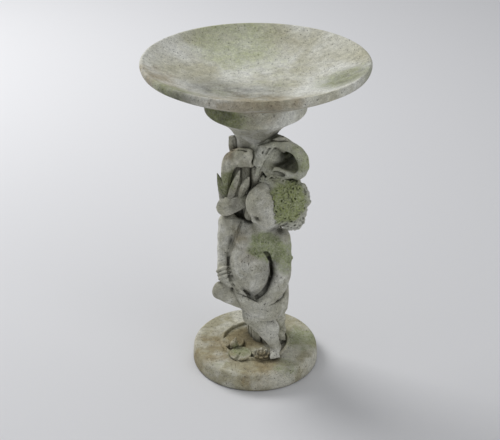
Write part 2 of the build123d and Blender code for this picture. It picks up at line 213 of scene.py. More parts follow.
class Clay:
    """A block of clay on a grid of points, to which masses are added and from which they are cut."""

    def __init__(self, low, high, cell):
        self.cell = cell
        self.low = np.asarray(low, float)
        counts = np.ceil((np.asarray(high) - self.low) / cell).astype(int) + 1
        self.axes = [self.low[i] + cell * np.arange(counts[i]) for i in range(3)]
        self.depth = np.full(counts, 60.0, np.float32)

    def near(self, mass, margin):
        parts = [
            slice(*np.searchsorted(axis, (a - margin, b + margin)))
            for axis, a, b in zip(self.axes, mass.low, mass.high)
        ]
        lines = [axis[part] for axis, part in zip(self.axes, parts)]
        return tuple(parts), np.stack(np.meshgrid(*lines, indexing="ij"), -1)

    def add(self, mass, blend=6.0):
        parts, points = self.near(mass, blend + 3 * self.cell)
        self.depth[parts] = smooth_least(self.depth[parts], mass.distance(points), blend)

    def cut(self, mass, blend=2.0):
        parts, points = self.near(mass, blend + 3 * self.cell)
        self.depth[parts] = -smooth_least(-self.depth[parts], mass.distance(points), blend)

    def keep(self, place, direction, blend=2.0):
        """Keeps what is on the far side of a plane; direction points at what is taken off."""
        points = np.stack(np.meshgrid(*self.axes, indexing="ij"), -1)
        side = (points - place) @ (np.asarray(direction) / np.linalg.norm(direction))
        self.depth = -smooth_least(-self.depth, -side, blend)

    def score(self, line, radius, blend=1.5, sink=0.0):
        """Scores a line into the front of the clay, along places given by x and z."""
        marks = []
        for x, _, z in smooth_path(line, 40):
            i, k = (int(np.searchsorted(self.axes[a], v)) for a, v in ((0, x), (2, z)))
            filled = np.flatnonzero(self.depth[i, :, k] < 0)
            if len(filled):
                marks.append(np.array((x, self.axes[1][filled[0]] + sink, z)))
        self.cut(Tube(marks, radius), blend)

    def roughen(self, size, amount, seed):
        """Uneven hand modelling: slow waves of a size and height over the surface."""
        rng = np.random.default_rng(seed)
        points = np.stack(np.meshgrid(*self.axes, indexing="ij"), -1).astype(np.float32)
        wave = np.zeros(self.depth.shape, np.float32)
        for _ in range(5):
            direction = rng.normal(size=3)
            direction *= 2 * math.pi / size / np.linalg.norm(direction)
            wave += np.sin(points @ direction.astype(np.float32) + rng.uniform(0, 6.3))
        self.depth += amount / 2.2 * wave

    def skin(self, name, rounds=2):
        """The clay's surface as a mesh, one vertex in each cell that the surface crosses."""
        inside = self.depth < 0
        inside[[0, -1]] = inside[:, [0, -1]] = inside[:, :, [0, -1]] = False
        wide, deep, tall = (count - 1 for count in inside.shape)
        filled = sum(
            inside[i : i + wide, j : j + deep, k : k + tall].astype(np.int8)
            for i in (0, 1)
            for j in (0, 1)
            for k in (0, 1)
        )
        active = (filled > 0) & (filled < 8)
        number = np.full(active.shape, -1)
        cells = np.argwhere(active)
        number[active] = np.arange(len(cells))
        total = np.zeros((len(cells), 3))
        count = np.zeros(len(cells))
        for axis in range(3):
            for i in (0, 1):
                for j in (0, 1):
                    start = np.zeros(3, int)
                    start[(axis + 1) % 3] = i
                    start[(axis + 2) % 3] = j
                    step = np.eye(3, dtype=int)[axis]
                    a = self.depth[tuple((cells + start).T)]
                    b = self.depth[tuple((cells + start + step).T)]
                    crossed = inside[tuple((cells + start).T)] != inside[tuple((cells + start + step).T)]
                    share = np.clip(a / np.where(np.abs(a - b) > 1e-6, a - b, 1), 0, 1)
                    total += np.where(crossed[:, None], start + share[:, None] * step, 0)
                    count += crossed
        vertices = self.low + self.cell * (cells + total / np.maximum(count, 1)[:, None])
        faces = []
        for axis in range(3):
            step, across, up = np.roll(np.eye(3, dtype=int), -axis, 0)
            lower = [slice(1, -1)] * 3
            upper = [slice(1, -1)] * 3
            lower[axis] = slice(0, -1)
            upper[axis] = slice(1, None)
            here, there = inside[tuple(lower)], inside[tuple(upper)]
            for first, second, order in ((here, there, 1), (there, here, -1)):
                place = np.argwhere(first & ~second) + np.array([s.start for s in lower])
                ring = [place, place - across, place - across - up, place - up][::order]
                faces.append(np.stack([number[tuple(p.T)] for p in ring], 1))
        faces = np.concatenate(faces)
        for _ in range(rounds):
            total = np.zeros_like(vertices)
            count = np.zeros(len(vertices))
            for i in range(4):
                a, b = faces[:, i], faces[:, (i + 1) % 4]
                for axis in range(3):
                    total[:, axis] += np.bincount(a, vertices[b, axis], len(vertices))
                    total[:, axis] += np.bincount(b, vertices[a, axis], len(vertices))
                count += np.bincount(a, minlength=len(vertices))
                count += np.bincount(b, minlength=len(vertices))
            vertices = 0.5 * vertices + 0.5 * total / count[:, None]
        return mesh_from(name, vertices, faces)


# ======== leaves: a pressed, ribbed section carried along a spine ========


def smooth_path(places, count):
    """Points evenly numbered along a smooth curve through the places."""
    places = np.asarray(places, float)
    ends = np.vstack([2 * places[0] - places[1], places, 2 * places[-1] - places[-2]])
    spans = len(places) - 1
    found = []
    for value in np.linspace(0, spans, count):
        i = min(int(value), spans - 1)
        t = value - i
        a, b, c, d = ends[i : i + 4]
        bend, twist = 2 * a - 5 * b + 4 * c - d, 3 * b - a - 3 * c + d
        found.append(0.5 * (2 * b + (c - a) * t + bend * t**2 + twist * t**3))
    return np.array(found)


def leaf(name, spine, facing, widths, thickness=7.0, cup=0.0, rib=1.2, veins=0.5, along=70, around=56):
    """A leaf along a spine: half widths at even steps, edges turned towards its face by cup."""
    line = smooth_path(spine, along)
    looks = smooth_path(facing, along)
    half = np.maximum(smooth_path([(w, 0, 0) for w in widths], along)[:, 0], 0.4)
    tangent = np.gradient(line, axis=0)
    tangent /= np.linalg.norm(tangent, axis=1)[:, None]
    side = np.cross(tangent, looks)
    side /= np.linalg.norm(side, axis=1)[:, None]
    face = np.cross(side, tangent)
    angle = np.linspace(0, 2 * math.pi, around, endpoint=False)
    across = np.sign(np.cos(angle)) * np.abs(np.cos(angle)) ** 0.9
    out = np.sin(angle)
    step = np.linspace(0, 1, along)[:, None]
    swell = np.minimum(1.0, half / (0.8 * thickness))[:, None]
    ridge = rib * np.exp(-((across / 0.10) ** 2)) * np.sign(out)
    slanting = 2 * math.pi * (3.2 * np.abs(across)[None] - 9 * step)
    lines = veins * np.cos(slanting) * (np.abs(across) < 0.93)
    body_lift = swell * (thickness / 2 * out[None] + ridge[None] + lines)
    lift = cup * half[:, None] * across[None] ** 2 + body_lift
    wide = (half[:, None] * across[None])[..., None]
    points = line[:, None] + side[:, None] * wide + face[:, None] * lift[..., None]
    vertices = points.reshape(-1, 3)
    faces = []
    for i in range(along - 1):
        for j in range(around):
            k = (j + 1) % around
            row, up = i * around, (i + 1) * around
            faces.append((row + j, row + k, up + k, up + j))
    faces.append(tuple(range(around))[::-1])
    faces.append(tuple((along - 1) * around + j for j in range(around)))
    mesh = mesh_from(name, vertices, faces)
    outwards(mesh)
    return mesh


def outwards(mesh):
    """Turns a closed mesh's faces outwards."""
    shape = bmesh.new()
    shape.from_mesh(mesh)
    bmesh.ops.recalc_face_normals(shape, faces=shape.faces)
    shape.to_mesh(mesh)
    shape.free()


def joined(name, meshes):
    """Several meshes as one."""
    vertices, faces = [], []
    for mesh in meshes:
        start = len(vertices)
        vertices += [tuple(c / MM for c in v.co) for v in mesh.vertices]
        faces += [tuple(i + start for i in p.vertices) for p in mesh.polygons]
    return mesh_from(name, vertices, faces)


# ======== stone ========


def weathered_stone(
    name, stone, pale_and_lit, stain, algae, grime_and_shade, algae_cover,
    growths=(), stains_and_shading=(), dirt_and_shade=(), washed_and_lit=(), bump=1.0, crease_shade=0.8, patch=48, soft=0.11, edge=0.15,
):
    """Cast stone: cement and sand poured in a mould, years outdoors.

    Its cement skin is worn off to the sand, so it is dull and grainy, pitted where air bubbles open and green
    where algae hold damp. Its creases, hollows and the gaps between parts are painted darker from an ambient
    occlusion node: painted shade, not a colour of the stone. The four place lists after algae_cover hold
    (place, reach, strength) and say where algae gather; where brown stain gathers, with painted shadow at
    some places and painted light where the strength is below zero; where soot gathers, with painted shade at
    some places; and where rain has cleaned the stone, with painted light at some places.
    """
    material = bpy.data.materials.new(name)
    material.use_nodes = True
    tree = material.node_tree
    tree.nodes.clear()
    add = partial(put, tree)
    where = add("ShaderNodeTexCoord").outputs["Object"]

    noises = {}
    for title, size, detail, roughness, distortion in (
        ("patches", patch, 4.0, 0.55, 0.4),
        ("brown drifts", 30, 5.0, 0.6, 0.0),
        ("algae colonies", 26, 6.0, 0.62, 0.0),
        ("dirt_and_shade", 20, 4.0, 0.55, 0.0),
        ("soot drifts", 16, 3.0, 0.55, 0.0),
        ("mottle", 9, 5.0, 0.65, 0.0),
        ("algae tufts", 4, 4.0, 0.7, 0.0),
        ("soot specks", 2.6, 2.0, 0.5, 0.0),
        ("grain", 1.6, 3.0, 0.7, 0.0),
    ):
        noises[title] = add(
            NOISE,
            {
                "Vector": where,
                "Scale": 1 / (size * MM),
                "Detail": detail,
                "Roughness": roughness,
                "Distortion": distortion,
            },
        )
    gathered = {}
    for title, places in (("growths", growths), ("stains_and_shading", stains_and_shading), ("dirt_and_shade", dirt_and_shade), ("washed_and_lit", washed_and_lit)):
        gathered[title] = 0.0
        for place, reach, strength in places:
            middle = tuple(np.asarray(place) * MM)
            gap = add("ShaderNodeVectorMath", (where, middle), operation="DISTANCE").outputs["Value"]
            near = add(REMAP, (gap, reach * MM, 0.25 * reach * MM, 0.0, strength), **SMOOTHLY)
            gathered[title] = add(MATH, (gathered[title], near), operation="ADD")

    worn = add(REMAP, (noises["patches"], 0.51 - soft, 0.51 + soft), **SMOOTHLY)
    # Brown stain from noise and the listed places; some listed places are painted shadow, and those below
    # zero are painted light.
    stain_and_shading = add(MATH, (noises["brown drifts"], 0.9, gathered["stains_and_shading"]), operation="MULTIPLY_ADD")
    stain_and_shading = add(REMAP, (stain_and_shading, 0.50, 0.95, 0.0, 0.8), **SMOOTHLY)
    growth = add(MATH, (noises["mottle"], 0.35, gathered["growths"]), operation="MULTIPLY_ADD")
    growth = add(MATH, (noises["algae colonies"], 0.65, growth), operation="MULTIPLY_ADD")
    bare = 1.05 - algae_cover
    growth = add(REMAP, (growth, bare - edge, bare + edge, 0.0, 0.85), **SMOOTHLY)
    tufts = add(REMAP, (noises["algae tufts"], 0.35, 0.65, 0.0, 0.38), **SMOOTHLY)
    green = add("ShaderNodeMix", {0: tufts, 6: linear(algae), 7: linear(pale_and_lit)}, data_type="RGBA").outputs[2]
    # Soot, and painted shade under and between parts: the listed dark places, broken up by noise.
    soiled_and_shaded = add(MATH, (gathered["dirt_and_shade"], noises["dirt_and_shade"]), operation="MULTIPLY")
    # Painted shade: an ambient occlusion node darkens creases, hollows and the gaps between parts towards the
    # soot colour, by up to the crease shade depth.
    shade = add("ShaderNodeAmbientOcclusion", {"Distance": 0.022}, samples=8).outputs["AO"]
    painted_crease_shade = add(REMAP, (shade, 0.92, 0.30, 0.0, crease_shade), **SMOOTHLY)
    bubbles = add("ShaderNodeTexVoronoi", {"Vector": where, "Scale": 1 / (6.5 * MM)})
    picked = add("ShaderNodeSeparateColor", (bubbles.outputs["Color"],))
    picked = add(REMAP, (picked, 0.62, 0.72), **SMOOTHLY)
    opened = add(REMAP, (bubbles.outputs["Distance"], 0.24, 0.10), **SMOOTHLY)
    pits = add(MATH, (opened, picked), operation="MULTIPLY")
    pitted = add(MATH, (pits, 0.7), operation="MULTIPLY")
    specks = add(REMAP, (noises["soot specks"], 0.58, 0.70), **SMOOTHLY)
    drifts = add(REMAP, (noises["soot drifts"], 0.36, 0.60, 0.0, 0.62), **SMOOTHLY)
    sooty = add(MATH, (specks, drifts), operation="MULTIPLY")
    colour = linear(stone)
    for cover, paint in (
        (worn, linear(pale_and_lit)),
        (stain_and_shading, linear(stain)),
        (growth, green),
        (soiled_and_shaded, linear(grime_and_shade)),
        # Rain-cleaned patches, and painted light at some of the listed places.
        (gathered["washed_and_lit"], linear(pale_and_lit)),
        # Painted shade in creases, hollows and gaps.
        (painted_crease_shade, linear(grime_and_shade)),
        (pitted, linear(grime_and_shade)),
        (sooty, linear(grime_and_shade)),
    ):
        colour = add("ShaderNodeMix", {0: cover, 6: colour, 7: paint}, data_type="RGBA").outputs[2]
    bright = add(REMAP, (noises["grain"], 0.32, 0.68, 0.72, 1.27))
    broad = add(REMAP, (noises["mottle"], 0.30, 0.70, 0.77, 1.19))
    level = add(MATH, (bright, broad), operation="MULTIPLY")
    colour = add("ShaderNodeVectorMath", {0: colour, "Scale": level}, operation="SCALE")

    height = add(MATH, (pits, -1.2), operation="MULTIPLY")
    height = add(MATH, (noises["grain"], 0.5, height), operation="MULTIPLY_ADD")
    height = add(MATH, (noises["mottle"], 1.1, height), operation="MULTIPLY_ADD")
    relief = add("ShaderNodeBump", {"Strength": 0.85, "Distance": 0.0014 * bump, "Height": height})
    shader = add(
        "ShaderNodeBsdfPrincipled",
        {
            "Base Color": colour,
            "Roughness": add(REMAP, {0: noises["mottle"], 3: 0.84, 4: 0.98}),
            "Normal": relief,
            "IOR": 1.5,
            "Specular IOR Level": 0.25,
        },
    )
    add("ShaderNodeOutputMaterial", {"Surface": shader})
    return material


# Near-black for soot and pits, also the colour of painted shade in creases, hollows and under parts.
GRIME_AND_SHADE = "#2b2a20"

# The colours are the stone, its worn patches (a colour also painted on as light), brown stain, algae, and a
# near-black for soot that also serves as painted shade.
basin_stone = weathered_stone(
    "weathered cast stone, basin", "#b9b6a0", "#e0e0d8", "#a3977d", "#969f57", GRIME_AND_SHADE, 0.10,
    growths=[
        ((-45, 168, 645), 150, 0.54),
        ((20, 20, 615), 180, 0.22),
        ((170, -55, 635), 90, 0.5),
        ((-78, -80, 562), 84, 0.95),
        ((-150, -140, 640), 80, 0.5),
    ],
    # Brown stain; the last place, with strength below zero, is painted light on the lit right-hand back wall
    # of the dish.
    stains_and_shading=[((0, -170, 640), 150, 0.42), ((-185, -70, 640), 90, 0.35), ((170, 105, 650), 90, -0.5)],
    # The first place is painted shade on the boss's left side, the next two painted shadow under the rim at
    # the front and front left; the last two darken spots inside the dish.
    dirt_and_shade=[
        ((-85, -60, 570), 110, 1.25),
        ((-145, -165, 602), 92, 1.4),
        ((20, -212, 596), 78, 0.8),
        ((170, -54, 645), 84, 0.7),
        ((8, -66, 619), 74, 0.6),
    ],
    # The first place is painted light on the lit right-hand back wall of the dish; the second lightens the
    # back of the dish.
    washed_and_lit=[((176, 100, 650), 80, 0.35), ((-40, 150, 650), 100, 0.3)],
    patch=110,
    soft=0.17,
    edge=0.34,
)
figure_stone = weathered_stone(
    "weathered cast stone, figure", "#b3b1a1", "#d0cfc5", "#8b8168", "#818c58", GRIME_AND_SHADE, 0.14,
    growths=[(spot(16, -70, 268), 50, 0.7), (spot(62, -50, 232), 66, 0.55), (spot(-50, -50, 250), 60, 0.12)],
    stains_and_shading=[(spot(-30, -60, 285), 40, 0.25), (spot(-12, -72, 248), 38, 0.3)],
    # The first two places are painted shadow under the chin and jaw, the fourth painted shade on the right
    # knee under the hand; the third darkens the belly and the last the neck under the basin.
    dirt_and_shade=[
        (spot(46, -70, 300), 34, 1.0),
        (spot(-4, -90, 300), 30, 0.4),
        (spot(13, -72, 210), 34, 0.7),
        (spot(-74, -78, 175), 30, 0.4),
        (spot(0, -44, 496), 52, 0.55),
    ],
    washed_and_lit=[(spot(30, -72, 70), 52, 0.8), (spot(7, -86, 138), 40, 0.55)],
)
leaf_stone = weathered_stone(
    "weathered cast stone, leaves", "#aeac9a", "#cccabc", "#8c7a60", "#79814f", GRIME_AND_SHADE, 0.18,
    growths=[(spot(-62, -10, 378), 48, 0.55), (spot(-44, -50, 404), 50, 0.3)],
    stains_and_shading=[(spot(-44, -20, 440), 34, 0.4)],
    dirt_and_shade=[(spot(-49, -62, 350), 36, 1.0), (spot(66, -60, 91), 34, 0.4)],
)
mossy_stone = weathered_stone(
    "mossy cast stone, hair and hood leaf", "#b2b29f", "#cacabf", "#857d58", "#8a9550", "#262815", 0.34,
    bump=1.3,
    growths=[(spot(95, -50, 440), 60, 0.3), (spot(57, -82, 367), 64, 0.5), (spot(80, -60, 292), 44, -0.5)],
    # Painted shade in the hollow under the hood leaf's curl.
    dirt_and_shade=[(spot(62, -38, 442), 27, 2.0)],
    washed_and_lit=[(spot(76, -66, 302), 40, 1.0), (spot(14, -48, 457), 40, 0.6), (spot(88, -60, 450), 34, 0.3)],
)
plinth_stone = weathered_stone(
    "weathered cast stone, plinth", "#aca78f", "#cac8ba", "#8d7e5a", "#7f875a", GRIME_AND_SHADE, 0.20,
    growths=[
        ((95, 10, 37), 84, 0.42),
        ((60, -90, 37), 60, 0.35),
        ((-28, -46, 42), 46, 0.4),
        ((-70, -90, 30), 50, 0.2),
    ],
    crease_shade=0.55,
    stains_and_shading=[
        ((-90, -30, 37), 90, 0.35),
        # This place is painted shadow on the plinth behind the child's legs.
        ((-10, 10, 37), 60, 0.6),
        ((30, -75, 37), 40, 0.4),
        ((0, -105, 37), 70, 0.3),
    ],
    # Painted shadow on the plinth under the figure.
    dirt_and_shade=[((-5, 20, 37), 60, 0.7)],
)

# ======== turned castings: basin, neck and plinth ========


def arc_through(start, end, start_slope, end_slope, count=24):
    """A smooth line in the (radius, height) plane that leaves and arrives along given directions."""
    start, end = np.array(start, float), np.array(end, float)
    size = np.linalg.norm(end - start)
    leave = np.array(start_slope, float) / np.linalg.norm(start_slope) * size
    arrive = np.array(end_slope, float) / np.linalg.norm(end_slope) * size
    t = np.linspace(0, 1, count)[1:, None]
    return (
        (2 * t**3 - 3 * t**2 + 1) * start
        + (t**3 - 2 * t**2 + t) * leave
        + (3 * t**2 - 2 * t**3) * end
        + (t**3 - t**2) * arrive
    ).tolist()


turning, turn_in = new_tree(
    "turned casting", steps_around=192, steps_along=240, unevenness=0.0005, wave_size=0.09, material=None
)
add = partial(put, turning)
profile_curve = add("GeometryNodeMeshToCurve", {"Mesh": turn_in["Geometry"]})
sheet = add(
    "GeometryNodeMeshGrid",
    {
        "Size X": 1.0,
        "Size Y": 1.0,
        "Vertices X": turn_in["Steps along"],
        "Vertices Y": turn_in["Steps around"],
    },
)
on_sheet = add("ShaderNodeSeparateXYZ", (add("GeometryNodeInputPosition"),))
along = add(MATH, (on_sheet.outputs["X"], 0.5), operation="ADD")
angle = add(MATH, (on_sheet.outputs["Y"], 0.5), operation="ADD")
angle = add(MATH, (angle, -2 * math.pi), operation="MULTIPLY")
on_profile = add(
    "GeometryNodeSampleCurve",
    {"Curves": profile_curve, "Factor": along},
    mode="FACTOR",
    use_all_curves=True,
).outputs["Position"]
spun = add("ShaderNodeVectorRotate", {"Vector": on_profile, "Angle": angle}, rotation_type="Z_AXIS")
wave_scale = add(MATH, (1.0, turn_in["Wave size"]), operation="DIVIDE")
wobble = add(NOISE, {"Vector": spun, "Scale": wave_scale, "Detail": 2.0})
inward = add(MATH, (wobble, 1.0), operation="SUBTRACT")
inward = add(MATH, (inward, turn_in["Unevenness"]), operation="MULTIPLY")
spun_parts = add("ShaderNodeSeparateXYZ", (spun,))
flat_way = add("ShaderNodeCombineXYZ", (spun_parts.outputs[0], spun_parts.outputs[1]))
flat_way = add("ShaderNodeVectorMath", (flat_way,), operation="NORMALIZE")
push = add("ShaderNodeVectorMath", {0: flat_way, "Scale": inward}, operation="SCALE")
shaped = add("GeometryNodeSetPosition", {"Geometry": sheet, "Position": spun, "Offset": push})
closed = add("GeometryNodeMergeByDistance", {"Geometry": shaped, "Distance": 0.00001})
finish_tree(turning, closed, turn_in["Material"])


def turned(name, profile, material, **sizes):
    """A profile of (radius, height) points turned about the vertical axis."""
    points = [(r, 0, z) for r, z in profile]
    source = mesh_from(name, points, [])
    source.edges.add(len(points) - 1)
    source.edges.foreach_set("vertices", [end for i in range(len(points) - 1) for end in (i, i + 1)])
    return worked(source, turning, material=material, **sizes)


pin_low, pin_high = corners("locating_pin")
rim_radius, _, rim_top = corners("basin")[1]
boss_radius = 98.0
boss_height = 42.0
boss_round = 9.0
boss_swell = boss_radius + 6
pin_gap = 0.5
bore = (pin_high[0] - pin_low[0]) / 2 + pin_gap
rim_under = rim_radius - 4
rim_low = rim_top - 17
rim_round = rim_top - 5
rim_lip = 8.0
lip_crown = rim_radius - rim_lip / 2
lip_edge = (rim_radius - rim_lip, rim_top - 1.5)
dish_depth = 44.0
face = SEAM + 0.05
basin_profile = [
    (0, pin_high[2] + pin_gap),
    (bore, pin_high[2] + pin_gap),
    (bore, face),
    (boss_radius - boss_round, face),
    *arc_through((boss_radius - boss_round, face), (boss_radius, SEAM + boss_round), (1, 0), (0, 1), 8),
    *arc_through((boss_radius, SEAM + boss_round), (boss_swell, SEAM + boss_height), (0, 1), (0.5, 1)),
    *arc_through((boss_swell, SEAM + boss_height), (rim_under, rim_low), (1, 0.3), (1, 0.6), 40),
    *arc_through((rim_under, rim_low), (rim_radius, rim_round), (0.7, 1), (0, 1), 12),
    *arc_through((rim_radius, rim_round), (lip_crown, rim_top), (0, 1), (-1, 0), 8),
    *arc_through((lip_crown, rim_top), lip_edge, (-1, 0), (-1, -0.62), 6),
    *arc_through(lip_edge, (0, rim_top - dish_depth), (-1, -0.62), (-1, 0), 60),
]
show(
    "basin_casting",
    turned("basin_casting", basin_profile, basin_stone, steps_around=256, steps_along=330, unevenness=0.0012),
    basin_stone,
    "cast_stone_basin",
    "basin",
    body="basin",
)

neck_low, neck_high = corners("neck")
neck_head = neck_high[0] - 0.5
neck_waist = (36, neck_low[2] + 9)
neck_flare = (46, SEAM - 37)
neck_lip = (neck_head, SEAM - 7)
neck_profile = [
    (0, neck_low[2]),
    (neck_waist[0], neck_low[2]),
    neck_waist,
    *arc_through(neck_waist, neck_flare, (0, 1), (0.6, 1)),
    *arc_through(neck_flare, neck_lip, (0.6, 1), (1, 0.6)),
    *arc_through(neck_lip, (neck_head - 1, SEAM), (1, 0.6), (-1, 0.6), 8),
    (bore, SEAM),
    (bore, pin_low[2] - pin_gap),
    (0, pin_low[2] - pin_gap),
]
show(
    "neck_casting",
    turned("neck_casting", neck_profile, figure_stone, steps_around=128, steps_along=120),
    figure_stone,
    "cast_stone_basin",
    "neck",
)

plinth_radius = corners("plinth")[1][0]
pond_radius = corners("pond_rim")[1][0]
foot_round = 2.5
plinth_side = (plinth_radius - 1.5, PLINTH_TOP - 8)
plinth_shoulder = (plinth_radius - 9, PLINTH_TOP)
pond_edge = (pond_radius, PLINTH_TOP - 0.4)
plinth_profile = [
    (0, 0.0),
    (plinth_radius - foot_round, 0.0),
    (plinth_radius, foot_round),
    *arc_through((plinth_radius, foot_round), plinth_side, (0.05, 1), (-0.1, 1), 10),
    *arc_through(plinth_side, plinth_shoulder, (-0.1, 1), (-1, 0), 10),
    *arc_through(plinth_shoulder, pond_edge, (-1, 0), (-1, 0), 14),
    *arc_through(pond_edge, (pond_radius - 18, PLINTH_TOP - 1.5), (-1, 0), (-1, 0), 14),
    (0, PLINTH_TOP - 1),
]
plinth_turned = turned(
    "plinth_casting",
    plinth_profile,
    plinth_stone,
    steps_around=192,
    steps_along=200,
    unevenness=0.0018,
)
show("plinth_casting", plinth_turned, plinth_stone, "cast_stone_plinth", "plinth")

# ======== the child ========

body = Clay(spot(-98, -118, -6), spot(96, 10, 322), cell(1.35))
for centre, radii, blend in (
    ((0, -42, 262), (42, 32, 34), 10),
    ((8, -38, 236), (36, 32, 40), 20),
    ((10, -44, 148), (45, 37, 34), 20),
    ((-14, -48, 240), (38, 33, 34), 12),
    ((-12, -56, 208), (41, 39, 50), 12),
    ((-22, -62, 274), (18, 15, 16), 7),
    ((14, -64, 270), (20, 15, 16), 7),
):
    body.add(Ball(spot(*centre), np.array(radii) * SCALE), blend)
body.add(Tube([spot(-44, -28, 288), spot(44, -38, 264)], [20, 22]), 14)
body.add(Tube([spot(8, -44, 276), spot(26, -48, 320)], [22, 19]), 12)
left_leg = ((28, -44, 122), (-4, -74, 112), (14, -66, 82), (32, -58, 48), (42, -50, 20))
body.add(Tube([spot(*joint) for joint in left_leg], [34, 22.5, 19, 14.5, 11]), 8)
body.add(Ball(spot(28, -54, 68), (20, 18, 24)), 10)
body.add(Tube([spot(43, -42, 12), spot(40, -62, 8)], [12, 10], flat=0.85, press=(0, 0, 1)), 7)
right_leg = ((-12, -48, 140), (-66, -72, 167), (-36, -58, 138), (-16, -42, 118), (8, -26, 92))
body.add(Tube([spot(*joint) for joint in right_leg], [31, 19.5, 14.5, 13.5, 12]), 9)
left_arm = ((46, -38, 264), (50, -45, 226), (51, -50, 190), (43, -60, 168), (28, -74, 152))
body.add(Tube([spot(*joint) for joint in left_arm], [24, 22, 19.5, 18, 15]), 3.5)
body.add(Ball(spot(14, -86, 144), (15, 10, 10)), 6)
right_arm = ((-53, -28, 297), (-58, -34, 266), (-62, -42, 238), (-62, -56, 214), (-59, -66, 200))
body.add(Tube([spot(-44, -18, 284), spot(-50, -24, 222)], 13), 4)
body.add(Tube([spot(*joint) for joint in right_arm], [20, 17, 13.5, 13, 13.5]), 3.5)
body.add(Ball(spot(-48, -78, 190), (14, 11, 10)), 6)
for i in range(4):
    root = spot(-46 + 3 * i, -80 - 2.5 * i, 192 - 4.5 * i)
    body.add(Tube([root, root + (8, -4, -4), root + (16, -3, -11)], [4.6, 4.3, 3.4]), 1.6)
    root = spot(8 - 3 * i, -92 + 1.5 * i, 146 - 4.5 * i)
    body.add(Tube([root, root + (-9, 0, -3), root + (-16, 3, -7)], [4.4, 4.1, 3.2]), 1.6)
for i in range(5):
    body.add(Ball(spot(32.5 + 4.1 * i, -71 + 1.0 * i, 6), (2.9, 6, 4.2 - 0.3 * i)), 1.5)
body.add(Tube([spot(-61, -60, 208), spot(-58, -69, 197)], 14.5), 1.5)
cuff_run = np.array((0.28, -0.63, -0.72))
cuff_out = np.cross(cuff_run, (0, 0.75, -0.66))
cuff_out /= np.linalg.norm(cuff_out)
cuff_up = np.cross(cuff_run, cuff_out)
cuff_ring = [
    14.5 * (math.cos(turn) * cuff_out + math.sin(turn) * cuff_up) for turn in np.linspace(0, 2 * math.pi, 25)
]
for i in range(3):
    middle = spot(-61, -60, 209) + 7.5 * i * cuff_run
    body.add(Tube([middle + place for place in cuff_ring], 3.0), 0.8)
band_run = spot(51, -46, 215) - spot(50, -44, 224)
band_run /= np.linalg.norm(band_run)
band_side = np.cross(band_run, (0, 1, 0))
band_axes = np.stack([band_side, np.cross(band_run, band_side), band_run])
body.add(Ball(spot(50, -44, 224), (24, 24, 5.5), band_axes), 1.5)
body.cut(Ball(spot(-22, -97, 208), (3.5, 6, 3.0)), 4)
right_arm_crease = [(-16, 308), (-30, 298), (-40, 270), (-51, 238)]
right_arm_crease += [(-54, 217), (-49, 197), (-33, 176), (-13, 160)]
left_arm_crease = [(20, 254), (27, 234), (29, 205), (26, 184), (16, 166), (3, 154)]
for line, radius, sink in (
    (right_arm_crease, 2.1, 1.0),
    (left_arm_crease, 4.8, 3.0),
    (((25, 238), (28, 220), (28, 200), (24, 184)), 6.0, 4.0),
    (((-18, 268), (-6, 257), (8, 255), (20, 257)), 1.5, 0.0),
    (((30, 213), (44, 210), (62, 212)), 1.2, 0.0),
    (((-76, 207), (-60, 202), (-46, 205)), 1.1, 0.0),
    (((-75, 199), (-59, 194), (-45, 198)), 1.1, 0.0),
):
    body.score([spot(x, 0, z) for x, z in line], radius, 2.0, sink)
body.roughen(23, 0.5, 4)
show(
    "child_body",
    body.skin("child_body"),
    figure_stone,
    "cast_stone_figure",
    "child_torso",
    "child_right_arm",
    "child_left_arm",
    "child_right_leg",
    "child_left_leg",
    "right_arm_band",
    "left_arm_band",
)

cloth = Clay(spot(-62, -118, 95), spot(92, 10, 205), cell(1.2))
for drop, size, out in ((0, 6, 0), (-11, 6.5, 3), (-21, 6, 2), (-30, 5, -2)):
    fold_line = [
        spot(-42, -76 - out, 180 + drop * 0.4),
        spot(-24, -88 - out, 161 + drop * 0.7),
        spot(0, -93 - out, 147 + drop),
        spot(24, -88 - out, 139 + drop),
        spot(46, -70 - out, 137 + drop),
        spot(60, -46, 139 + drop),
        spot(62, -18, 146 + drop),
    ]
    fold_girth = np.interp(np.arange(14), (0, 4, 13), (size * 0.6, size, size))
    cloth.add(Tube(smooth_path(fold_line, 14), fold_girth), 2.5)
show("draped_cloth", cloth.skin("draped_cloth"), figure_stone, "cast_stone_figure", "loincloth")

head_ahead = np.array((-0.80, -0.50, -0.33))
head_ahead /= np.linalg.norm(head_ahead)
head_up = np.array((-0.08, 0.06, 1.0))
head_up = head_up - head_ahead * (head_up @ head_ahead)
head_up /= np.linalg.norm(head_up)
head_left = np.cross(head_up, head_ahead)
head_axes = np.stack([head_ahead, head_left, head_up])
head_centre = spot(32, -57, 355)
HEAD_SCALE = 0.94 * SCALE


def on_head(ahead, left, up):
    """A place measured from the middle of the head, the way it looks."""
    return head_centre + np.array((ahead, left, up)) @ head_axes * HEAD_SCALE


